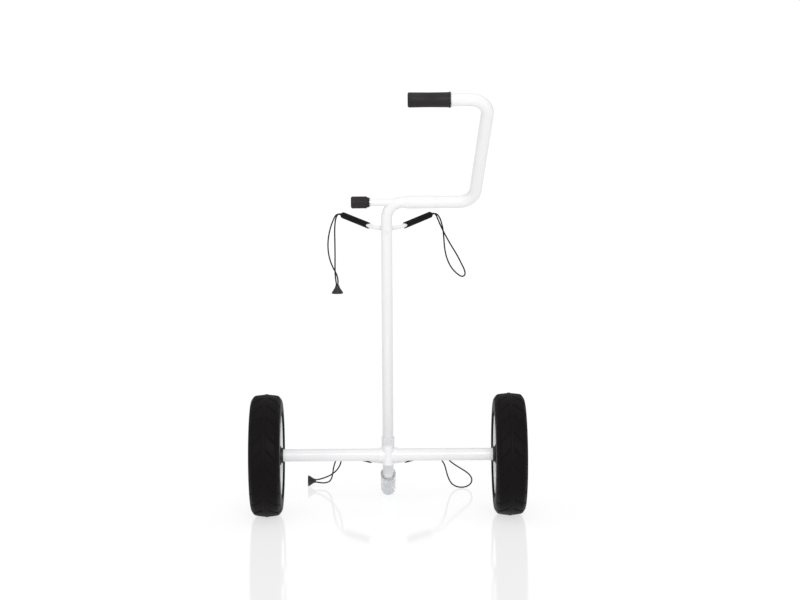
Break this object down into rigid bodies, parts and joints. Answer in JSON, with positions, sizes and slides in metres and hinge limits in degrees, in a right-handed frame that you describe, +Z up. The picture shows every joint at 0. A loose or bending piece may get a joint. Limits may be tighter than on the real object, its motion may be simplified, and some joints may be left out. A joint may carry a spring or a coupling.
{
  "type": "golf push cart",
  "caption": "Two-wheeled golf push cart with a bent main tube, fold-down handle, two forked bag cradles with elastic cords, and a round resting foot; shown empty.",
  "frame": {"origin": "on the floor, under the middle of the cart measured without its elastic cords; the cart stands on its two tyres and its foot", "axes": "+X to the cart's right seen from the handle side, +Y forward from the handle towards the bag side, +Z up"},
  "size_m": [0.624, 0.5849, 0.9634],
  "materials": {
    "white_alloy_tube": "white powder coat on bent aluminium tube",
    "white_steel": "white powder coat on steel rod",
    "white_plastic": "moulded, semi gloss",
    "tyre_rubber": "moulded tread, slightly dusty",
    "black_rubber": "soft matt rubber and foam",
    "black_plastic": "fine moulded texture",
    "clear_plastic": "translucent, slightly blue, soft gloss",
    "brushed_steel": "zinc plated",
    "alloy_bare": "machined",
    "brass_insert": "turned",
    "elastic_cord": "braided sheath over elastic"
  },
  "bodies": {
    "frame": {"axle_carrier": "white_steel", "axle_end_cap_left": "black_plastic", "axle_end_cap_right": "black_plastic", "axle_tube": "white_alloy_tube", "carrier_grub_screw": "brushed_steel", "foot_cap": "clear_plastic", "knob_washer": "brushed_steel", "lower_bracket_bolt": "brushed_steel", "lower_bracket_rod": "white_steel", "lower_bracket_saddle": "black_plastic", "lower_cord_eye_left": "black_plastic", "lower_cord_eye_right": "black_plastic", "lower_cord_left_inner": "elastic_cord", "lower_cord_left_outer": "elastic_cord", "lower_cord_right": "elastic_cord", "lower_cord_toggle": "black_plastic", "lower_sleeve_left": "black_rubber", "lower_sleeve_right": "black_rubber", "main_tube": "white_alloy_tube", "rod_guide": "white_alloy_tube", "stub_axle_left": "brushed_steel", "stub_axle_right": "brushed_steel", "upper_bracket_bolt": "brushed_steel", "upper_bracket_rod": "white_steel", "upper_bracket_saddle": "black_plastic", "upper_cord_eye_left": "black_plastic", "upper_cord_eye_right": "black_plastic", "upper_cord_left_inner": "elastic_cord", "upper_cord_left_outer": "elastic_cord", "upper_cord_right": "elastic_cord", "upper_cord_toggle": "black_plastic", "upper_sleeve_left": "black_rubber", "upper_sleeve_right": "black_rubber"},
    "handle": {"handle_tube": "white_alloy_tube", "handle_spigot": "alloy_bare", "draw_rod": "brushed_steel", "grip": "black_rubber", "grip_ring": "white_plastic"},
    "knob": {"clamp_knob": "black_plastic", "knob_insert": "brass_insert"},
    "wheel_left": {"tyre_left": "tyre_rubber", "rim_left": "white_plastic", "hub_left": "black_plastic", "bearings_left": "brushed_steel", "latch_plate_left": "brushed_steel", "hub_cap_left": "black_plastic"},
    "button_left": {"release_button_left": "black_plastic"},
    "wheel_right": {"tyre_right": "tyre_rubber", "rim_right": "white_plastic", "hub_right": "black_plastic", "bearings_right": "brushed_steel", "latch_plate_right": "brushed_steel", "hub_cap_right": "black_plastic"},
    "button_right": {"release_button_right": "black_plastic"}
  },
  "joints": [
    {"name": "handle_fold", "type": "hinge", "parent": "frame", "child": "handle", "pos_m": [0, -0.03656, 0.7175], "axis": [1, 0, 0], "range_deg": [-20, 150]},
    {"name": "knob_turn", "type": "hinge", "parent": "handle", "child": "knob", "pos_m": [-0.06, -0.03656, 0.7175], "axis": [1, 0, 0], "range_deg": [0, 360]},
    {"name": "wheel_left_spin", "type": "hinge", "parent": "frame", "child": "wheel_left", "pos_m": [-0.2765, -0.01791, 0.14], "axis": [1, 0, 0], "continuous": true},
    {"name": "wheel_right_spin", "type": "hinge", "parent": "frame", "child": "wheel_right", "pos_m": [0.2765, -0.01791, 0.14], "axis": [1, 0, 0], "continuous": true},
    {"name": "button_left_press", "type": "slide", "parent": "wheel_left", "child": "button_left", "axis": [1, 0, 0], "range_m": [0, 0.004], "stiffness_N_per_m": 600},
    {"name": "button_right_press", "type": "slide", "parent": "wheel_right", "child": "button_right", "axis": [-1, 0, 0], "range_m": [0, 0.004], "stiffness_N_per_m": 600}
  ]
}
